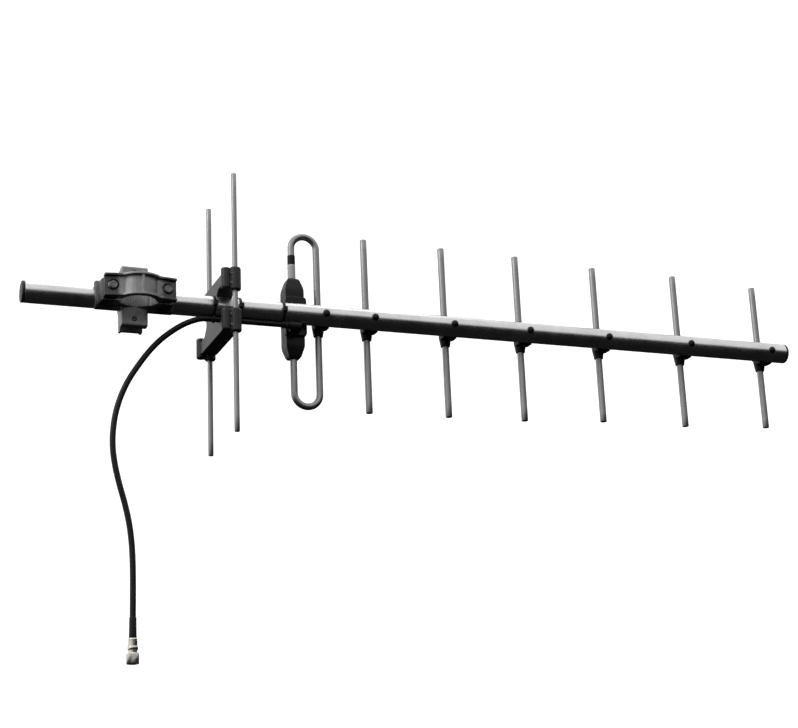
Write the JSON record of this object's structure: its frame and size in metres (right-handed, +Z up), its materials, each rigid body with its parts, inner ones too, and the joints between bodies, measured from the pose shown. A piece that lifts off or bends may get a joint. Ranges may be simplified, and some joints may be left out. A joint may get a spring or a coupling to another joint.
{
  "type": "yagi antenna",
  "caption": "Boom yagi antenna with rod directors, a folded dipole in a moulded feed housing, a reflector pair on a cast bracket, a crossover mast clamp and a coaxial tail.",
  "frame": {"origin": "on the axis of the mast opening, at the middle of the mast jaw's height", "axes": "+X along the boom towards its tip, +Y from the mast towards the boom and the rods, +Z up the mast"},
  "size_m": [1.5108, 0.2296, 0.8658],
  "materials": {
    "drawn_aluminium": "drawn, weathered matt",
    "cast_aluminium": "sand-cast, dull",
    "dark_casting": "black coated casting, worn at the edges",
    "black_moulding": "moulded, satin",
    "black_tape": "satin",
    "grey_sleeve": "smooth shrink sleeve",
    "stainless_steel": "plain stainless",
    "brass": "turned",
    "circuit_board": "lacquered laminate",
    "cable_jacket": "smooth jacket, satin",
    "nickel_plate": "nickel plated"
  },
  "bodies": {
    "clamp": {"clamp_base": "cast_aluminium", "coax_tail": "cable_jacket", "plug_body": "nickel_plate", "plug_pin": "brass"},
    "mast_jaw": {"mast_jaw": "cast_aluminium", "mast_bolt_left": "stainless_steel", "mast_bolt_right": "stainless_steel"},
    "boom_jaw": {"boom_jaw": "cast_aluminium", "boom_bolt_upper": "stainless_steel", "boom_bolt_lower": "stainless_steel"},
    "plug_nut": {"plug_nut": "nickel_plate"},
    "antenna": {"boom_tube": "drawn_aluminium", "director_1": "drawn_aluminium", "director_2": "drawn_aluminium", "director_3": "drawn_aluminium", "director_4": "drawn_aluminium", "director_5": "drawn_aluminium", "director_6": "drawn_aluminium", "folded_dipole": "drawn_aluminium", "reflector_near": "drawn_aluminium", "reflector_far": "drawn_aluminium", "reflector_bracket": "dark_casting", "reflector_clip_near_upper": "dark_casting", "reflector_clip_near_lower": "dark_casting", "reflector_clip_far_upper": "dark_casting", "reflector_clip_far_lower": "dark_casting", "boom_rear_cap": "black_moulding", "boom_tip_cap": "black_moulding", "director_saddle_1": "black_moulding", "director_saddle_2": "black_moulding", "director_saddle_3": "black_moulding", "director_saddle_4": "black_moulding", "director_saddle_5": "black_moulding", "director_saddle_6": "black_moulding", "director_screw_1": "black_moulding", "director_screw_2": "black_moulding", "director_screw_3": "black_moulding", "director_screw_4": "black_moulding", "director_screw_5": "black_moulding", "director_screw_6": "black_moulding", "dipole_saddle": "black_moulding", "dipole_screw": "black_moulding", "feed_housing": "black_moulding", "feed_cover": "black_moulding", "cable_tie_1": "black_moulding", "cable_tie_2": "black_moulding", "cable_tie_3": "black_moulding", "dipole_band": "black_tape", "dipole_sleeve": "grey_sleeve", "feed_cover_screw_upper": "stainless_steel", "feed_cover_screw_lower": "stainless_steel", "feed_housing_screw": "stainless_steel", "bracket_screw": "stainless_steel", "feed_terminal_upper": "brass", "feed_terminal_lower": "brass", "matching_board": "circuit_board", "coax_run": "cable_jacket"}
  },
  "joints": [
    {"name": "boom_roll", "type": "hinge", "parent": "clamp", "child": "antenna", "pos_m": [0, 0.0545, 0], "axis": [1, 0, 0], "range_deg": [-90, 90]},
    {"name": "mast_jaw_open", "type": "slide", "parent": "clamp", "child": "mast_jaw", "axis": [0, -1, 0], "range_m": [0, 0.01]},
    {"name": "boom_jaw_open", "type": "slide", "parent": "clamp", "child": "boom_jaw", "axis": [0, 1, 0], "range_m": [0, 0.008]},
    {"name": "plug_nut_spin", "type": "hinge", "parent": "clamp", "child": "plug_nut", "pos_m": [0, 0.036, -0.61], "axis": [0, 0, 1], "continuous": true}
  ]
}
